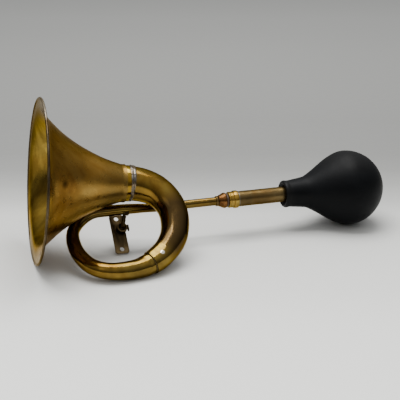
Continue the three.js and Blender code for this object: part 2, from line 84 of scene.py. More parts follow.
LAP_STEP = 0.55
TARNISH_SPOT = (-71.3, -45.2, -29.1)  # on the bell, in the horn frame
TINNED_SPOT = (26.1, -12.8, -85.8)  # a splash of solder on the bend
HAMMERED = [  # flats beside the lap: centre, size, depth
    ((16.5, -11.1, -85.9), 3.4, 0.8), ((22, -11.9, -82.4), 3.2, 0.9), ((10.1, -10.7, -90.4), 3.0, 0.8),
    ((14.4, -11.2, -96.2), 2.6, 0.7), ((26, -11, -78), 3, 0.7), ((1, -8, -89.5), 5, 0.6),
]
BEND_STEPS = 190
LOOP_STEPS = 330
PIPE_START = 50.3
PIPE_END = 106.3
PIPE_RADIUS = 4.6
WASHER_STATION = 113.3
STEM_RADIUS = 8.5
STEM_END = 200
NECK_START = 179.7
NECK_LIP = [  # distance into the neck, radius
    (3, 9.6), (0.6, 11.9), (0, 12.9), (0.3, 13.9), (1.4, 14.8), (3.4, 15.1), (7, 14.8),
    (15.5, 15.8),
]
BULB_CENTRE = 256.1
BULB_RADIUS = 42.1
BULB_SHOULDER = [  # distance before the bulb's centre, radius
    (45.95, 19.3), (40.8, 22.1), (35.1, 25.6), (29.4, 29.3), (22.95, 33.4), (16.5, 37),
    (11, 39.5), (5.5, 41.35),
]
FOOT_CENTRE = (-2.15, 44, -36.2)  # front face of the foot plate, in the horn frame
BOSS_CENTRE = (0.5, 44, -31.3)
FOOT_TILT = math.radians(-5.1)
FOOT_LENGTH = 46
FOOT_WIDTH = 15
FOOT_THICKNESS = 1.8
FOOT_CORNER = 3
FOOT_HOLE_RADIUS = 2.4
FOOT_HOLE_SPACING = 36
BOSS_RADIUS = 5.6
BOSS_BORE_RADIUS = 4
BOSS_HEIGHT = 6.4
SCREW_RADIUS = 1.4
SCREW_HEAD_THICKNESS = 1.6
SCREW_HEAD_AT = 6.8  # middle of the thumb screw's head, from the boss's axis
ARM_STATION = 1.5
ARM_RISE = 1.7
ARM_START = 7.2
ARM_RADIUS = 2.1
SADDLE_LENGTH = 6
SADDLE_HALF_ARC = math.radians(50)


# ------------------------------------------------------------------ frames and curves
def unit(v):
    v = np.array(v, float)
    return v / np.linalg.norm(v)


class Local:
    """A local frame: its origin in the row frame in metres, and its x, y and z axes."""

    def __init__(self, x, y, at, local_at):
        self.axes = np.array([unit(x), unit(y), np.cross(unit(x), unit(y))])
        self.origin = np.array(at, float) - np.array(local_at, float) @ self.axes * MM

    def out(self, points):
        return self.origin + np.asarray(points, float) @ self.axes * MM

    def back(self, points):
        return (np.asarray(points, float) - self.origin) @ self.axes.T / MM


line = Local(
    JOINTS["unscrew_turn"]["axis"],
    JOINTS["reed_flex"]["axis"],
    JOINTS["unscrew_turn"]["pos_m"],
    (WASHER_STATION, 0, 0),
)
swivel = JOINTS["foot_swivel"]["axis"]
horn = Local(np.cross(swivel, (0, 1, 0)), swivel, JOINTS["foot_swivel"]["pos_m"], BOSS_CENTRE)
socket_x = np.array([math.cos(FOOT_TILT), 0, -math.sin(FOOT_TILT)]) @ horn.axes
socket_y = np.array([-math.sin(FOOT_TILT), 0, -math.cos(FOOT_TILT)]) @ horn.axes
socket = Local(socket_x, socket_y, horn.out(BOSS_CENTRE), (0, 0, 0))
foot = Local(socket_x, socket_y, horn.out(FOOT_CENTRE), (0, 0, 0))


def catmull(rows, u):
    """The Catmull-Rom curve through rows, at each u counted in rows."""
    rows = np.asarray(rows, float)
    padded = np.vstack([2 * rows[0] - rows[1], rows, 2 * rows[-1] - rows[-2]])
    u = np.clip(np.atleast_1d(np.asarray(u, float)), 0, len(rows) - 1)
    i = np.minimum(u.astype(int), len(rows) - 2)
    t = (u - i)[:, None]
    a, b, c, d = (padded[i + k] for k in range(4))
    into, onto = (c - a) / 2, (d - b) / 2
    return b + into * t + (3 * (c - b) - 2 * into - onto) * t**2 + (2 * (b - c) + into + onto) * t**3


def smoothstep(v, low, high):
    t = np.clip((np.asarray(v, float) - low) / (high - low), 0, 1)
    return t * t * (3 - 2 * t)


def wobble(points, size, depth, seed):
    """Smooth noise at each point: features of the given size, up to about depth."""
    shift = Vector((seed, seed * 0.7, -seed))
    return np.array([noise.noise(Vector(p) / size + shift) for p in points]) * depth


# ------------------------------------------------------------------ mesh building
def add_piece(name, points, faces, material, body, replaces=(), angle=40):
    """A mesh piece from points in metres that rides on a body."""
    mesh = bpy.data.meshes.new(name)
    mesh.from_pydata([tuple(p) for p in points], [], [tuple(f) for f in faces])
    work = bmesh.new()
    work.from_mesh(mesh)
    bmesh.ops.recalc_face_normals(work, faces=work.faces)
    work.to_mesh(mesh)
    work.free()
    return place(name, mesh, material, body, replaces, angle)


def place(name, mesh, material, body, replaces=(), angle=40):
    mesh.shade_smooth()
    mesh.set_sharp_from_angle(angle=math.radians(angle))
    mesh.materials.clear()
    mesh.materials.append(material)
    piece = bpy.data.objects.new(name, mesh)
    bpy.context.scene.collection.objects.link(piece)
    if replaces:
        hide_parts(*replaces)
    if body:
        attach(piece, body)
    return piece


def grid_faces(rows, columns, close_rows=True, close_columns=True):
    faces = []
    for i in range(rows if close_rows else rows - 1):
        for j in range(columns if close_columns else columns - 1):
            k, m = (i + 1) % rows, (j + 1) % columns
            faces.append((i * columns + j, i * columns + m, k * columns + m, k * columns + j))
    return faces


def softened(profile, radius=0.3, steps=3):
    """A closed profile with each corner rounded."""
    profile = np.asarray(profile, float)
    rounded = []
    for i, corner in enumerate(profile):
        before, after = profile[i - 1] - corner, profile[(i + 1) % len(profile)] - corner
        reach = min(radius, np.linalg.norm(before) * 0.45, np.linalg.norm(after) * 0.45)
        start, end = corner + unit(before) * reach, corner + unit(after) * reach
        for t in np.linspace(0, 1, steps + 1):
            rounded.append((1 - t) ** 2 * start + 2 * t * (1 - t) * corner + t * t * end)
    return np.array(rounded)


def lathe(profile, sides):
    """Rings of points on the x axis, one for each [x, radius] of the profile."""
    profile = np.asarray(profile, float)
    angle = np.linspace(0, 2 * math.pi, sides, endpoint=False)
    rings = np.zeros((len(profile), sides, 3))
    rings[:, :, 0] = profile[:, :1]
    rings[:, :, 1] = profile[:, 1:] * np.cos(angle)
    rings[:, :, 2] = profile[:, 1:] * np.sin(angle)
    return rings


def turned(name, profile, local, material, body, slot, replaces=(), sides=96, soften=0.3, rough=0.0):
    """A turned piece with a closed profile and softened corners. rough lumps its surface."""
    rings = lathe(softened(profile, soften), sides)
    points = rings.reshape(-1, 3)
    if rough:
        radial = points * (0, 1, 1)
        radial /= np.maximum(np.linalg.norm(radial, axis=1), 1e-6)[:, None]
        points = points + radial * wobble(points, 3.5, rough, len(name))[:, None]
    faces = grid_faces(len(rings), sides)
    piece = add_piece(name, local.out(points), faces, material, body, replaces)
    set_attribute(piece, "along", points[:, 0])
    return piece


def sleeve_profile(start, end, inner, outer):
    return [(start, inner), (start, outer), (end, outer), (end, inner)]


def set_attribute(piece, name, values):
    attribute = piece.data.attributes.new(name, "FLOAT", "POINT")
    attribute.data.foreach_set("value", np.asarray(values, np.float32))


def along_curve(points):
    """Each point's tangent, and two vectors across it that turn as little as they can."""
    tangents = np.gradient(points, axis=0)
    tangents /= np.linalg.norm(tangents, axis=1)[:, None]
    across = [unit(np.cross((0, 1, 0), tangents[0]))]
    for tangent in tangents[1:]:
        across.append(unit(across[-1] - tangent * (across[-1] @ tangent)))
    across = np.array(across)
    return tangents, across, np.cross(tangents, across)


def swept_rings(points, radii, sides):
    tangents, across, up = along_curve(points)
    angle = np.linspace(0, 2 * math.pi, sides, endpoint=False)
    ring = np.cos(angle)[None, :, None] * across[:, None] + np.sin(angle)[None, :, None] * up[:, None]
    return points[:, None] + ring * np.asarray(radii, float)[:, None, None], ring


# ------------------------------------------------------------------ materials
class Nodes:
    """A material under construction, with short calls for the nodes used here."""

    def __init__(self, name, metallic, **sockets):
        self.material = bpy.data.materials.new(name)
        self.material.use_nodes = True
        self.tree = self.material.node_tree
        self.shader = self.tree.nodes["Principled BSDF"]
        self.shader.inputs["Metallic"].default_value = metallic
        for socket_name, value in sockets.items():
            self.shader.inputs[socket_name.replace("_", " ")].default_value = value
        self.coordinates = self.tree.nodes.new("ShaderNodeTexCoord").outputs["Object"]

    def link(self, source, target):
        self.tree.links.new(source, target)

    def node(self, kind, **values):
        made = self.tree.nodes.new(kind)
        for key, value in values.items():
            setattr(made, key, value)
        return made

    def attribute(self, name):
        return self.node("ShaderNodeAttribute", attribute_name=name).outputs["Fac"]

    def stretched(self, scale):
        mapping = self.node("ShaderNodeMapping")
        mapping.inputs["Scale"].default_value = scale
        self.link(self.coordinates, mapping.inputs["Vector"])
        return mapping.outputs["Vector"]

    def noise(self, scale, detail=5, roughness=0.55, distortion=0.0, vector=None):
        made = self.node("ShaderNodeTexNoise")
        made.inputs["Scale"].default_value = scale
        made.inputs["Detail"].default_value = detail
        made.inputs["Roughness"].default_value = roughness
        made.inputs["Distortion"].default_value = distortion
        self.link(vector or self.coordinates, made.inputs["Vector"])
        return made.outputs["Fac"]

    def ramp(self, value, stops):
        made = self.node("ShaderNodeValToRGB")
        elements = made.color_ramp.elements
        while len(elements) < len(stops):
            elements.new(0.5)
        for element, (position, color) in zip(elements, stops):
            element.position = position
            element.color = (*color, 1) if isinstance(color, tuple) else (color, color, color, 1)
        self.link(value, made.inputs["Fac"])
        return made.outputs["Color"]

    def mix(self, amount, first, second, blend="MIX"):
        made = self.node("ShaderNodeMix", data_type="RGBA", blend_type=blend)
        for socket_index, value in ((0, amount), (6, first), (7, second)):
            if isinstance(value, (int, float)):
                made.inputs[socket_index].default_value = value
            elif isinstance(value, tuple):
                made.inputs[socket_index].default_value = (*value, 1)
            else:
                self.link(value, made.inputs[socket_index])
        return made.outputs[2]

    def math(self, operation, first, second=0.0):
        made = self.node("ShaderNodeMath", operation=operation)
        for socket_index, value in enumerate((first, second)):
            if isinstance(value, (int, float)):
                made.inputs[socket_index].default_value = value
            else:
                self.link(value, made.inputs[socket_index])
        return made.outputs[0]

    def bump(self, height, depth, under=None):
        made = self.node("ShaderNodeBump")
        made.inputs["Strength"].default_value = 1.0
        made.inputs["Distance"].default_value = depth
        self.link(height, made.inputs["Height"])
        if under:
            self.link(under, made.inputs["Normal"])
        return made.outputs["Normal"]

    def finish(self, color, roughness, normal):
        self.link(color, self.shader.inputs["Base Color"])
        self.link(roughness, self.shader.inputs["Roughness"])
        self.link(normal, self.shader.inputs["Normal"])
        return self.material


def metal(name, dark, middle, light, patch=28, gloss=(0.2, 0.4), dents=0.0001, specks=0.5, marks=(),
          turned_marks=0.0):
    """Tarnished metal: patches from dark to light, browner clouds, dark specks, fine scratches and soft
    dents. Each of marks is (attribute, colour): where the attribute is 1 the metal has that colour."""
    n = Nodes(name, 1.0, Specular_Tint=(0.75, 0.62, 0.42, 1))
    patches = n.noise(patch, 6, 0.6, 0.6)
    color = n.ramp(patches, [(0.3, dark), (0.5, middle), (0.72, light)])
    cloud_noise = n.noise(patch * 0.6, 3, 0.5, 0.4, n.stretched((1.3, 0.8, 0.8)))
    clouds = n.ramp(cloud_noise, [(0.44, 0.0), (0.6, 0.8)])
    color = n.mix(clouds, color, (1.0, 0.80, 0.55), "MULTIPLY")
    streaks = n.noise(9, 3, 0.5, 0.3, n.stretched((1, 14, 3)))
    color = n.mix(n.ramp(streaks, [(0.42, 0.0), (0.75, 0.35)]), color, light)
    spots = n.noise(420, 2, 0.5)
    spotted = n.ramp(spots, [(0.66, 0.0), (0.78, specks)])
    color = n.mix(spotted, color, dark)
    for attribute_name, mark_color in marks:
        ragged = n.math("ADD", n.attribute(attribute_name), n.math("MULTIPLY", patches, 0.5))
        color = n.mix(n.ramp(ragged, [(0.45, 0.0), (1.05, 1.0)]), color, mark_color)
    fine = n.noise(170, 4, 0.65)
    low, high = gloss
    roughness = n.ramp(fine, [(0.3, low), (0.7, high)])
    scratches = n.noise(700, 2, 0.5, 0.0, n.stretched((1, 6, 2)))
    normal = n.bump(n.noise(34, 2, 0.4), dents)
    normal = n.bump(scratches, 0.000012, normal)
    if turned_marks:
        wave = n.math("SINE", n.math("MULTIPLY", n.attribute("along"), 2 * math.pi / 0.55))
        normal = n.bump(wave, turned_marks, normal)
    return n.finish(color, roughness, normal)


BELL_BRASS = metal("bell_brass", (0.155, 0.087, 0.024), (0.245, 0.148, 0.035), (0.355, 0.238, 0.068), 17,
                   (0.24, 0.38), 0.00035, 0.25,
                   marks=(("tarnish", (0.035, 0.018, 0.005)), ("wear", (0.22, 0.17, 0.11))))
BELL_INSIDE = metal("bell_inside_brass", (0.075, 0.046, 0.010), (0.165, 0.106, 0.020), (0.45, 0.30, 0.055),
                    24, (0.12, 0.26), 0.0008, 0.3, marks=(("wear", (0.30, 0.25, 0.17)),))
TUBE_BRASS = metal("tube_brass", (0.08, 0.048, 0.012), (0.155, 0.10, 0.022), (0.24, 0.168, 0.034), 40,
                   (0.11, 0.22), 0.00028, 0.3,
                   marks=(("tarnish", (0.055, 0.034, 0.013)), ("wear", (0.26, 0.185, 0.035)),
                          ("tinned", (0.62, 0.58, 0.50))))
BRIGHT_BRASS = metal("bright_brass", (0.14, 0.088, 0.016), (0.27, 0.18, 0.038), (0.44, 0.32, 0.09), 120,
                     (0.16, 0.30), 0.00004, turned_marks=0.000015)
FERRULE_BRASS = metal("ferrule_brass", (0.11, 0.065, 0.010), (0.24, 0.155, 0.020), (0.42, 0.29, 0.045), 60,
                      (0.06, 0.14), 0.0006)
BROWN_BRASS = metal("brown_brass", (0.048, 0.030, 0.012), (0.090, 0.060, 0.023), (0.16, 0.115, 0.05), 45,
                    (0.30, 0.44), 0.00006, marks=(("wear", (0.14, 0.12, 0.09)),))
COPPER_BRASS = metal("copper_brass", (0.045, 0.019, 0.007), (0.10, 0.048, 0.017), (0.22, 0.12, 0.05), 130,
                     (0.20, 0.34), 0.00004, turned_marks=0.00001)
DARK_BRASS = metal("dark_brass", (0.005, 0.003, 0.002), (0.010, 0.007, 0.005), (0.032, 0.021, 0.011), 85,
                   (0.38, 0.60), 0.00012, marks=(("wear", (0.17, 0.12, 0.055)),))
ARM_BRASS = metal("arm_brass", (0.010, 0.007, 0.004), (0.024, 0.016, 0.008), (0.07, 0.05, 0.02), 85,
                  (0.28, 0.45), 0.00008)
SOLDER = metal("grey_solder", (0.07, 0.064, 0.055), (0.15, 0.14, 0.125), (0.36, 0.34, 0.31), 160,
               (0.22, 0.38), 0.0002)
WORN_RIM = metal("worn_rim", (0.025, 0.018, 0.010), (0.055, 0.042, 0.026), (0.13, 0.105, 0.07), 40,
                 (0.26, 0.42), 0.0001, marks=(("wear", (0.26, 0.225, 0.175)),))


def rubber_material():
    """Matte moulded rubber, with a dusty bloom where the dust_and_sheen attribute is high: real dust, and
    a painted sheen on the bulb's top.
    """
    n = Nodes("moulded_rubber", 0.0, Specular_IOR_Level=0.09)
    cloud = n.noise(30, 6, 0.6, 0.8)
    color = n.ramp(cloud, [(0.3, (0.0009, 0.0011, 0.0015)), (0.7, (0.0020, 0.0024, 0.0030))])
    # the bloom's colour also paints the sheen of light on the bulb's top
    dust_and_sheen = n.math("MULTIPLY", n.attribute("dust_and_sheen"), n.ramp(n.noise(60, 7, 0.7), [(0.3, 0.35), (0.65, 1.0)]))
    color = n.mix(dust_and_sheen, color, (0.020, 0.019, 0.016))
    scuffs = n.noise(14, 4, 0.7, 0.0, n.stretched((1, 5, 9)))
    color = n.mix(n.ramp(scuffs, [(0.62, 0.0), (0.8, 0.3)]), color, (0.010, 0.0105, 0.011))
    roughness = n.ramp(cloud, [(0.3, 0.42), (0.7, 0.58)])
    normal = n.bump(n.noise(900, 3, 0.6), 0.00003)
    normal = n.bump(n.noise(40, 2, 0.5), 0.0003, normal)
    return n.finish(color, roughness, normal)


def leather_material():
    n = Nodes("oiled_leather", 0.0)
    color = n.ramp(n.noise(220, 6, 0.65), [(0.3, (0.025, 0.013, 0.006)), (0.7, (0.09, 0.05, 0.025))])
    roughness = n.ramp(n.noise(300, 3), [(0.3, 0.6), (0.7, 0.85)])
    return n.finish(color, roughness, n.bump(n.noise(1200, 4, 0.7), 0.00006))


RUBBER = rubber_material()
LEATHER = leather_material()


# ------------------------------------------------------------------ bell
def uprightness(points):
    """How far each point is right above or below the bell's axis: 1 there, and 0 level with it."""
    offset = horn.out(points) - horn.out(points * (1, 0, 0))
    return abs(offset[:, 2]) / np.linalg.norm(offset, axis=1)


def make_bell():
    outside = np.array([(-distance, radius) for distance, radius in BELL_OUTSIDE])
    outside = catmull(outside, np.linspace(0, len(outside) - 1, 6 * (len(outside) - 1) + 1))
    run = np.gradient(outside, axis=0)
    run /= np.linalg.norm(run, axis=1)[:, None]
    inside = outside + WALL * np.column_stack([-run[:, 1], run[:, 0]])
    inside[0, 0] = outside[0, 0]
    profile = np.vstack([outside, inside[::-1]])
    sides = 192
    rings = lathe(profile, sides)
    points = rings.reshape(-1, 3)
    radial = points * (0, 1, 1)
    radial /= np.linalg.norm(radial, axis=1)[:, None]
    fade = 1 - smoothstep(np.linalg.norm(points[:, 1:], axis=1), 70, 82)
    points = points + radial * (wobble(points, 30, 0.5, 4) * fade)[:, None]
    bell = add_piece("bell_skin", horn.out(points), grid_faces(len(rings), sides), BELL_BRASS,
                     "horn", ["bell"], 50)
    bell.data.materials.append(BELL_INSIDE)
    first_inside = len(outside) * sides
    for polygon in bell.data.polygons:
        if min(polygon.vertices) >= first_inside:
            polygon.material_index = 1
    radius = np.linalg.norm(points[:, 1:], axis=1)
    worn = smoothstep(radius, 70, 84) * (0.1 + 0.9 * smoothstep(uprightness(points), 0.6, 0.95))
    set_attribute(bell, "wear", worn)
    distance = np.linalg.norm(points - TARNISH_SPOT, axis=1)
    throat = 0.4 * smoothstep(points[:, 0], -50, -15)
    set_attribute(bell, "tarnish", throat + 0.75 * np.exp(-((distance / 5.5) ** 2)))
    set_attribute(bell, "along", points[:, 0])

    sides = 240
    turn = np.linspace(0, 2 * math.pi, 20, endpoint=False)
    middle = RIM_RADIUS - RIM_WIRE_RADIUS
    bead = [(-BELL_LENGTH + RIM_WIRE_RADIUS * math.cos(a), middle + RIM_WIRE_RADIUS * math.sin(a))
            for a in turn]
    rings = lathe(bead, sides)
    points = rings.reshape(-1, 3)
    rim = add_piece("rolled_rim", horn.out(points), grid_faces(len(rings), sides), WORN_RIM,
                    "horn", ["bell_rim_wire"], 80)
    set_attribute(rim, "wear", 0.9 * smoothstep(uprightness(points), 0.8, 0.99))


# ------------------------------------------------------------------ loop
def loop_rows():
    """The loop's centre line and radius in the horn frame, as in LOOP_ROUTE, on to the pipe."""
    rows = [list(row) for row in LOOP_ROUTE]
    for station, radius, height in LOOP_TAPER:
        rows.append([*horn.back(line.out((station, 0, height))), radius])
    return np.array(rows)


LOOP = loop_rows()


def dent(points, normals, centre, size, depth):
    """Pushes points in around centre, along their normals."""
    distance = np.linalg.norm(points - np.asarray(centre, float), axis=1)
    return points - normals * (depth * np.exp(-((distance / size) ** 2)))[:, None]


def tube(name, start, end, steps, sides, widen, material, replaces, dents=()):
    """A stretch of the loop as a shell. widen gives what is added to the route's radius at u."""
    u = np.linspace(start, end, steps)
    route = catmull(LOOP, u)
    radii = route[:, 3] + widen(u)
    outer, ring = swept_rings(route[:, :3], radii, sides)
    inner, _ = swept_rings(route[:, :3], radii - WALL, sides)
    normals = np.vstack([ring.reshape(-1, 3), ring[::-1].reshape(-1, 3)])
    points = np.vstack([outer.reshape(-1, 3), inner[::-1].reshape(-1, 3)])
    points = points + normals * wobble(points, 16, 0.22, 9)[:, None]
    for centre, size, depth in dents:
        points = dent(points, normals, centre, size, depth)
    faces = grid_faces(2 * steps, sides)
    return add_piece(name, horn.out(points), faces, material, "horn", replaces, 50)


def solder_band(name, start, end, rise, material, replaces):
    """A lumpy band of solder round the loop, in two ridges of the given rise."""
    steps = 24
    u = np.linspace(start, end, steps)
    route = catmull(LOOP, u)
    sides = 120
    t = (u - start) / (end - start)
    ridges = 0.35 + 0.65 * np.sin(t * 2 * math.pi) ** 2
    swell = np.sin(np.clip(t, 0.02, 0.98) * math.pi) ** 0.35
    outer, ring = swept_rings(route[:, :3], route[:, 3] + 0.1 + rise * ridges * swell, sides)
    inner, _ = swept_rings(route[:, :3], route[:, 3] - 0.2, sides)
    points = outer.reshape(-1, 3)
    points = points + ring.reshape(-1, 3) * wobble(points, 3, rise * 0.7, 2)[:, None]
    points = np.vstack([points, inner[::-1].reshape(-1, 3)])
    faces = grid_faces(2 * steps, sides)
    add_piece(name, horn.out(points), faces, material, "horn", replaces, 60)


def make_loop():
    ferrule = sleeve_profile(-6, 1.7, 18.5, 19)
    turned("ferrule_band", ferrule, horn, FERRULE_BRASS, "horn", "bright_brass", ["throat_ferrule"],
           120, 0.1)
    lap_inside = LAP_AT - LAP_LENGTH

    def swage(u):
        return LAP_STEP * smoothstep(u, lap_inside - 1, lap_inside)

    bend = tube("bend_skin", 0, LAP_AT, BEND_STEPS, 72, swage, TUBE_BRASS, ["upper_bend"],
                HAMMERED)

    def inside_lap(u):
        return (LAP_STEP - WALL - GAP) * (1 - smoothstep(u, LAP_AT - 0.12, LAP_AT + 0.5))

    loop = tube("loop_skin", lap_inside, len(LOOP) - 1, LOOP_STEPS, 60, inside_lap, TUBE_BRASS,
                ["loop_tube"], HAMMERED)
    spans = ((bend, 0, LAP_AT, BEND_STEPS), (loop, lap_inside, len(LOOP) - 1, LOOP_STEPS))
    for piece, first, last, steps in spans:
        points = horn.back([v.co for v in piece.data.vertices])
        u = np.linspace(first, last, steps)
        sides = len(points) // (2 * steps)
        u = np.concatenate([np.repeat(u, sides), np.repeat(u[::-1], sides)])
        near = np.min([np.linalg.norm(points - centre, axis=1) / size
                       for centre, size, _ in HAMMERED], axis=0)
        hammered = 1 - smoothstep(near, 0.5, 1.3)
        bend_back = smoothstep(u, 2.6, 5.5) * (1 - smoothstep(u, 8.0, 9.5))
        loop_end = smoothstep(u, 13, 15) * (1 - smoothstep(u, 20, 23)) * 0.7
        splash = np.linalg.norm(points - TINNED_SPOT, axis=1)
        set_attribute(piece, "tarnish", (bend_back + loop_end) * (1 - hammered) * 0.75)
        set_attribute(piece, "wear", hammered * 0.4)
        set_attribute(piece, "tinned", 1.1 * (1 - smoothstep(splash, 1.2, 2.8)))
    solder_band("throat_solder_band", 0.70, 1.12, 0.8, SOLDER, ["throat_solder"])
    solder_band("lap_solder_band", LAP_AT + 0.01, LAP_AT + 0.07, 0.25, BROWN_BRASS,
                ["lap_solder"])


# ------------------------------------------------------------------ pipe, coupling and stem
def make_pipe():
    def part(name, profile, material, body, slot, replaces, **options):
        return turned(name, profile, line, material, body, slot, replaces, **options)

    stations = np.linspace(PIPE_START, PIPE_END, 60)
    inside = PIPE_RADIUS - WALL
    profile = [(s, PIPE_RADIUS) for s in stations] + [(s, inside) for s in stations[::-1]]
    pipe = part("lead_pipe_skin", profile, TUBE_BRASS, "horn", "aged_brass", ["lead_pipe"],
                sides=48, soften=0.05, rough=0.1)
    set_attribute(pipe, "tarnish", np.full(len(pipe.data.vertices), 0.45))
    part("pipe_ferrule_skin", sleeve_profile(46.3, 54.3, 4.95, 5.5), BROWN_BRASS, "horn",
         "brown_brass", ["pipe_ferrule"])
    collar = [(101.7, 4.9), (101.7, 5.3), (102.2, 5.6), (103.8, 5.6), (104.2, 5.3), (104.2, 4.9)]
    part("collar_skin", collar, BROWN_BRASS, "horn", "brown_brass", ["pipe_collar"],
         soften=0.2, rough=0.15)
    part("cone_skin", [(104.5, 4.9), (104.5, 5.6), (105.2, 6), (107, 6.8), (110, 8.2), (110.7, 8.5),
                       (112.2, 8.5), (113, 8), (113, 5.3)],
         COPPER_BRASS, "horn", "copper_brass", ["coupling_cone"], soften=0.35)
    part("washer_skin", sleeve_profile(113.3, 115.3, 5.3, 7.6), LEATHER, "washer", "leather",
         ["sealing_washer"], soften=0.5, rough=0.15)
    grooved = [(115.6, 5.3), (115.6, 8.3), (116.2, 8.8), (117.4, 8.8), (117.7, 8.5), (118.2, 8.5),
               (118.5, 8.8), (121.2, 8.8), (126.6, 8.8), (126.6, 7.4), (136, 7.4), (136, 5.6),
               (122, 5.6), (122, 5.3)]
    part("nut_skin", grooved, BRIGHT_BRASS, "bulb_unit", "bright_brass", ["coupling_nut"], soften=0.2)
    rounded = [(121.4, 9.1), (121.4, 9.3), (122.2, 9.65), (124, 9.8), (125.8, 9.65), (126.6, 9.3),
               (126.6, 9.1)]
    part("ring_skin", rounded, BRIGHT_BRASS, "bulb_unit", "bright_brass", ["coupling_ring"],
         soften=0.4)
    stations = np.linspace(126.9, STEM_END, 90)
    profile = [(s, STEM_RADIUS) for s in stations] + [(s, STEM_RADIUS - WALL) for s in stations[::-1]]
    stem = part("stem_skin", profile, BROWN_BRASS, "bulb_unit", "brown_brass", ["stem_tube"],
                soften=0.1, rough=0.05)
    along = np.array([v.co for v in stem.data.vertices])
    set_attribute(stem, "wear", 1.0 - smoothstep(line.back(along)[:, 0], 127, 128.4))


def make_plug():
    """The plug's thread: a helix of one-millimetre pitch between the coupling's two halves."""
    start, end, sides = 107.3, 122, 48
    turns = 4 * int(end - start)
    stations = np.linspace(start, end, turns * 3)
    angle = np.linspace(0, 2 * math.pi, sides, endpoint=False)
    phase = 2 * math.pi * stations[:, None] - angle[None]
    crest = 0.5 + 0.5 * np.cos(phase)
    radius = 4.6 + 0.38 * crest
    outer = np.stack([np.broadcast_to(stations[:, None], radius.shape), radius * np.cos(angle),
                      radius * np.sin(angle)], axis=-1)
    inner = lathe([(s, 2.8) for s in stations[::-1]], sides)
    points = np.vstack([outer.reshape(-1, 3), inner.reshape(-1, 3)])
    faces = grid_faces(2 * len(stations), sides)
    plug = add_piece("thread_skin", line.out(points), faces, BRIGHT_BRASS, "bulb_unit",
                     ["threaded_plug"], 60)
    set_attribute(plug, "along", points[:, 0])


# ------------------------------------------------------------------ bulb
def bulb_profile():
    """The bulb's skin from deep in the neck, round its lip and over to the pole."""
    inner = STEM_RADIUS + GAP
    lip = [(NECK_START + depth, radius) for depth, radius in NECK_LIP]
    neck = [(215, inner), (STEM_END, inner), (NECK_START + 7, inner), *lip, (205, 17.2)]
    shoulder = [(BULB_CENTRE - back, radius) for back, radius in BULB_SHOULDER]
    dome = [(BULB_CENTRE + BULB_RADIUS * math.sin(a), BULB_RADIUS * math.cos(a))
            for a in np.linspace(0, math.pi / 2, 13)]
    rows = np.array(neck + shoulder + dome)
    profile = catmull(rows, np.linspace(0, len(rows) - 1, 5 * (len(rows) - 1) + 1))
    profile[:, 1] = np.maximum(profile[:, 1], 0)
    profile[-1] = (BULB_CENTRE + BULB_RADIUS, 0)
    return profile


def make_bulb():
    profile = bulb_profile()
    run = np.gradient(profile, axis=0)
    run /= np.linalg.norm(run, axis=1)[:, None]
    outward = np.column_stack([-run[:, 1], run[:, 0]])
    outward[-1] = (1, 0)
    ring_at = BULB_CENTRE + 29
    groove = 0.35 * np.exp(-(((profile[:, 0] - ring_at) / 0.9) ** 2)) * (profile[:, 1] < 35)
    profile = profile - outward * groove[:, None]
    columns = 65
    for name, body, low, replaced in (
        ("bulb_skin_left", "bulb_left", -math.pi / 2, ["bulb_left_half", "bulb_neck"]),
        ("bulb_skin_right", "bulb_right", math.pi / 2, ["bulb_right_half"]),
    ):
        angle = np.linspace(low, low + math.pi, columns)
        points = np.zeros((len(profile), columns, 3))
        normals = np.zeros_like(points)
        for target, source in ((points, profile), (normals, outward)):
            target[:, :, 0] = source[:, :1]
            target[:, :, 1] = source[:, 1:] * np.cos(angle)
            target[:, :, 2] = source[:, 1:] * np.sin(angle)
        flat = points.reshape(-1, 3)
        faces = grid_faces(len(profile), columns, False, False)
        mesh = bpy.data.meshes.new(name)
        mesh.from_pydata([tuple(p) for p in line.out(flat)], [], faces)
        bulb = place(name, mesh, RUBBER, None, replaced, 180)
        mesh.normals_split_custom_set_from_vertices(normals.reshape(-1, 3) @ line.axes)
        set_attribute(bulb, "dust_and_sheen", dust_and_sheen_at(flat))
        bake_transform(bulb)


def dust_and_sheen_at(points):
    """Dust on the dome behind the moulded ring and a little on the lip, and a painted sheen in the same
    dusty colour on top of the bulb, as if lit from above.
    """
    x = points[:, 0]
    behind = smoothstep(x, BULB_CENTRE + 26, BULB_CENTRE + 31) * 0.55
    lip = (1 - smoothstep(x, NECK_START + 4, NECK_START + 12)) * 0.2
    # painted sheen: the top of the bulb is lightened where light falls on it, not dust
    top = smoothstep(points[:, 2], 20, 45) * 0.3
    return behind + lip + top


# ------------------------------------------------------------------ bracket
def plate(name, outline, holes, depth, bevel, local, offset, material, body, replaces):
    """A flat plate from an outline and holes in a local xy plane, with rounded edges."""
    curve = bpy.data.curves.new(name, "CURVE")
    curve.dimensions = "2D"
    curve.fill_mode = "BOTH"
    curve.extrude = depth / 2 - bevel
    curve.bevel_depth = bevel
    curve.bevel_resolution = 3
    curve.offset = -bevel
    for loop in (outline, *holes):
        spline = curve.splines.new("POLY")
        spline.points.add(len(loop) - 1)
        for point, (x, y) in zip(spline.points, loop):
            point.co = (x, y, 0, 1)
        spline.use_cyclic_u = True
    source = bpy.data.objects.new(name + "_curve", curve)
    bpy.context.scene.collection.objects.link(source)
    bpy.context.view_layer.update()
    evaluated = source.evaluated_get(bpy.context.evaluated_depsgraph_get())
    mesh = bpy.data.meshes.new_from_object(evaluated)
    bpy.data.objects.remove(source)
    points = np.array([v.co for v in mesh.vertices], float) + offset
    mesh.vertices.foreach_set("co", local.out(points).astype(np.float32).ravel())
    work = bmesh.new()
    work.from_mesh(mesh)
    bmesh.ops.remove_doubles(work, verts=work.verts, dist=1e-6)
    bmesh.ops.recalc_face_normals(work, faces=work.faces)
    work.to_mesh(mesh)
    work.free()
    piece = place(name, mesh, material, body, replaces, 35)
    return piece, local.back([v.co for v in mesh.vertices])


def circle(x, y, radius, count=40):
    return [(x + radius * math.cos(a), y + radius * math.sin(a))
            for a in np.linspace(0, 2 * math.pi, count, endpoint=False)]


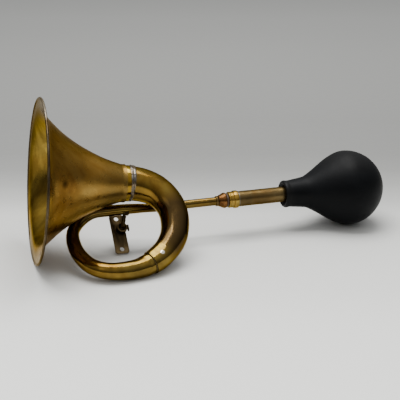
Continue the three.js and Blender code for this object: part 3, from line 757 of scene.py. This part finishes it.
def make_foot():
    half_width, half_length, half_spacing = FOOT_WIDTH / 2, FOOT_LENGTH / 2, FOOT_HOLE_SPACING / 2
    outline = []
    for sx, sy, first in ((1, 1, 0), (-1, 1, 90), (-1, -1, 180), (1, -1, 270)):
        for a in np.radians(np.linspace(first, first + 90, 9)):
            outline.append((sx * (half_width - FOOT_CORNER) + FOOT_CORNER * math.cos(a),
                            sy * (half_length - FOOT_CORNER) + FOOT_CORNER * math.sin(a)))
    hole_places = (half_spacing, -half_spacing)
    holes = [circle(0, y, FOOT_HOLE_RADIUS) for y in hole_places]
    piece, points = plate("foot_skin", outline, holes, FOOT_THICKNESS, 0.35, foot,
                          (0, 0, FOOT_THICKNESS / 2), DARK_BRASS, "foot", ["foot_plate"])
    near_hole = np.min([np.hypot(points[:, 0], points[:, 1] - y) for y in hole_places], axis=0)
    # painted reflection: the plate is lightened towards both ends, more at the +y end, where light
    # reflects on its face; the rims of the holes are lightened as real wear, and both go into the wear
    # attribute
    painted_reflection = 0.65 * np.maximum(smoothstep(points[:, 1], 9, 20), 0.6 * smoothstep(-points[:, 1], 17, 23))
    set_attribute(piece, "wear", np.maximum(0.6 - 0.6 * smoothstep(near_hole, 2.5, 3.2), painted_reflection))

    boss_profile = [(-GAP, BOSS_BORE_RADIUS), (-GAP, BOSS_RADIUS), (0.5 - BOSS_HEIGHT, BOSS_RADIUS),
                    (-BOSS_HEIGHT, BOSS_RADIUS - 0.5), (-BOSS_HEIGHT, BOSS_BORE_RADIUS)]
    boss = turned("boss_skin", boss_profile,
                  Local(socket.axes[2], socket.axes[0], socket.origin, (0, 0, 0)),
                  DARK_BRASS, "foot", "dark_brass", ["socket_boss"], sides=64, soften=0.35)
    lip = socket.back([v.co for v in boss.data.vertices])[:, 2]
    set_attribute(boss, "wear", 0.75 * smoothstep(-lip, 5.7, 6.2))

    def lobe(a):  # radius of the two-eared head
        return 2.9 + math.cos(2 * a)

    head = [(lobe(a) * math.cos(a), lobe(a) * math.sin(a))
            for a in np.linspace(0, 2 * math.pi, 72, endpoint=False)]
    half_height = -BOSS_HEIGHT / 2
    screw_at = socket.out((SCREW_HEAD_AT, 0, half_height))
    screw_frame = Local(socket.axes[1], socket.axes[2], screw_at, (0, 0, 0))
    screw, _ = plate("screw_head", head, [], SCREW_HEAD_THICKNESS, 0.5, screw_frame, (0, 0, 0),
                     DARK_BRASS, "clamp_screw", ["thumb_screw"])
    set_attribute(screw, "wear", np.full(len(screw.data.vertices), 0.3))
    shank_at = socket.out((0, 0, half_height))
    shank_frame = Local(socket.axes[0], socket.axes[1], shank_at, (0, 0, 0))
    shank_profile = [(4, 0.01), (4, 1.1), (4.3, SCREW_RADIUS), (5.8, SCREW_RADIUS), (6.2, 1.8),
                     (6.2, 0.01)]
    shank = turned("screw_shank", shank_profile,
                   shank_frame, DARK_BRASS, "clamp_screw", "dark_brass", sides=32, soften=0.15)
    set_attribute(shank, "wear", np.full(len(shank.data.vertices), 0.5))


def make_arm():
    root = horn.back(line.out((ARM_STATION, 0, ARM_RISE)))
    boss = np.array(BOSS_CENTRE, float)
    mouth = boss - (0, BOSS_HEIGHT, 0)
    elbow = mouth + (0, -4, 0.4)
    along = unit(elbow - root)
    rows = np.array([root + along * ARM_START, root + along * 12, elbow, mouth, boss - (0, 1, 0)])
    steps, sides = 60, 40
    path = catmull(rows, np.linspace(0, len(rows) - 1, steps))
    t = np.linspace(0, 1, steps)
    radii = ARM_RADIUS + 0.3 * (1 - smoothstep(t, 0, 0.12)) + 1.4 * smoothstep(t, 0.74, 0.8)
    rings, _ = swept_rings(path, radii, sides)
    points = rings.reshape(-1, 3)
    faces = grid_faces(steps, sides, False, True)
    faces += [tuple(range(sides - 1, -1, -1)), tuple(range((steps - 1) * sides, steps * sides))]
    add_piece("arm_skin", horn.out(points), faces, ARM_BRASS, "horn", ["bracket_arm"], 45)

    towards = line.back(horn.out(root + along)) - line.back(horn.out(root))
    middle = math.atan2(towards[2], towards[1])
    taper = np.array(LOOP_TAPER)
    inner = np.interp(ARM_STATION - SADDLE_LENGTH / 2, taper[:, 0], taper[:, 1]) + GAP
    across = np.linspace(-1, 1, 33)
    lengthwise = np.linspace(-1, 1, 25)
    edge = np.minimum(1 - np.abs(across)[None, :] ** 6, 1 - np.abs(lengthwise)[:, None] ** 8)
    thickness = 0.25 + 0.75 * np.sqrt(np.clip(edge, 0, 1))
    angle = middle + SADDLE_HALF_ARC * across[None, :] + 0 * lengthwise[:, None]
    station = ARM_STATION + SADDLE_LENGTH / 2 * lengthwise[:, None] + 0 * across[None, :]
    layers = []
    for radius in (inner + thickness, np.full(thickness.shape, inner)):
        layers.append(np.stack([station, radius * np.cos(angle), radius * np.sin(angle)], axis=-1))
    rings = np.concatenate([layers[0], layers[1][:, ::-1]], axis=1)
    points = rings.reshape(-1, 3) + (0, 0, ARM_RISE)
    columns = rings.shape[1]
    faces = grid_faces(len(rings), columns, False, True)
    faces += [tuple(range(columns)), tuple(range((len(rings) - 1) * columns, len(rings) * columns))]
    add_piece("saddle_skin", line.out(points), faces, ARM_BRASS, "horn",
              ["arm_saddle"], 40)


# ------------------------------------------------------------------ reed, kept from the CAD part
def dress_reed():
    for node, material in (("reed_block", BRIGHT_BRASS), ("reed_tongue", BRIGHT_BRASS),
                           ("reed_wedge", BROWN_BRASS)):
        mesh = frame["nodes"][node].data
        mesh.materials.clear()
        mesh.materials.append(material)


# ------------------------------------------------------------------ floor, light and camera
def make_stage():
    n = Nodes("paper_painted_shade", 0.0)
    split = n.node("ShaderNodeSeparateXYZ")
    n.link(n.coordinates, split.inputs["Vector"])
    away_x, away_y = 0.276 * 0.5, 0.961 * 0.5
    depth = n.math("ADD", n.math("MULTIPLY", split.outputs["X"], away_x),
                   n.math("MULTIPLY", split.outputs["Y"], away_y))
    near_to_far = n.math("ADD", depth, 0.2)
    # painted shade: the floor is near white in front and darkens away from the camera, darkest about 0.3
    # to 0.5 m back and a little lighter far off. This stands in for the light falling off and for a darker
    # backdrop.
    stops = [(0.02, 0.96), (0.10, 0.85), (0.137, 0.75), (0.2, 0.65), (0.237, 0.59), (0.263, 0.43),
             (0.291, 0.32), (0.322, 0.245), (0.36, 0.22), (0.45, 0.225), (0.76, 0.31), (1.0, 0.36)]
    color = n.ramp(near_to_far, [(at, (v, v, v * 0.955)) for at, v in stops])
    roughness = n.ramp(n.noise(90, 3), [(0.3, 0.75), (0.7, 0.85)])
    paper = n.finish(color, roughness, n.bump(n.noise(300, 3), 0.00002))
    mesh = bpy.data.meshes.new("floor")
    size = 30
    mesh.from_pydata([(-size, -size, 0), (size, -size, 0), (size, size, 0), (-size, size, 0)], [],
                     [(0, 1, 2, 3)])
    mesh.materials.append(paper)
    floor = bpy.data.objects.new("floor", mesh)
    bpy.context.scene.collection.objects.link(floor)


def area_light(name, place_at, look_at, width, height, watts, color=(1, 1, 1)):
    light = bpy.data.lights.new(name, "AREA")
    light.shape = "RECTANGLE"
    light.size, light.size_y = width, height
    light.energy = watts
    light.color = color
    lamp = bpy.data.objects.new(name, light)
    lamp.location = place_at
    direction = Vector(look_at) - Vector(place_at)
    lamp.rotation_mode = "QUATERNION"
    lamp.rotation_quaternion = direction.to_track_quat("-Z", "Y")
    bpy.context.scene.collection.objects.link(lamp)


def make_light():
    area_light("overhead", (-0.05, 0.3, 1.4), (0, 0.0, 0), 1.3, 0.8, 25)
    area_light("strip", (-0.16, -0.1, 1.3), (-0.14, 0, 0), 0.9, 0.05, 4.2)
    area_light("window", (-1.0, -0.9, 1.1), (-0.05, 0, 0.06), 0.5, 0.7, 0.8, (1, 0.98, 0.95))
    world = bpy.data.worlds.new("room")
    world.use_nodes = True
    bpy.context.scene.world = world
    tree = world.node_tree
    background = tree.nodes["Background"]
    coordinates = tree.nodes.new("ShaderNodeTexCoord")
    split = tree.nodes.new("ShaderNodeSeparateXYZ")
    tree.links.new(coordinates.outputs["Generated"], split.inputs["Vector"])
    ramp = tree.nodes.new("ShaderNodeValToRGB")
    stops = ramp.color_ramp.elements
    stops[0].position, stops[0].color = 0.0, (0.10, 0.10, 0.105, 1)
    stops[1].position, stops[1].color = 0.9, (0.75, 0.76, 0.77, 1)
    middle = stops.new(0.35)
    middle.color = (0.28, 0.28, 0.285, 1)
    tree.links.new(split.outputs["Z"], ramp.inputs["Fac"])
    tree.links.new(ramp.outputs["Color"], background.inputs["Color"])
    background.inputs["Strength"].default_value = 1.45


def make_camera():
    camera = bpy.data.objects.new("camera", bpy.data.cameras.new("camera"))
    camera.data.sensor_width = 36
    camera.data.lens = 80
    camera.location = (-0.26445, -0.86044, 0.37571)
    camera.rotation_mode = "QUATERNION"
    camera.rotation_quaternion = Vector((0.2591311, 0.9025083, -0.3439911)).to_track_quat("-Z", "Y")
    bpy.context.scene.collection.objects.link(camera)
    bpy.context.scene.camera = camera


make_bell()
make_loop()
make_pipe()
make_plug()
make_bulb()
make_foot()
make_arm()
dress_reed()
make_stage()
make_light()
make_camera()
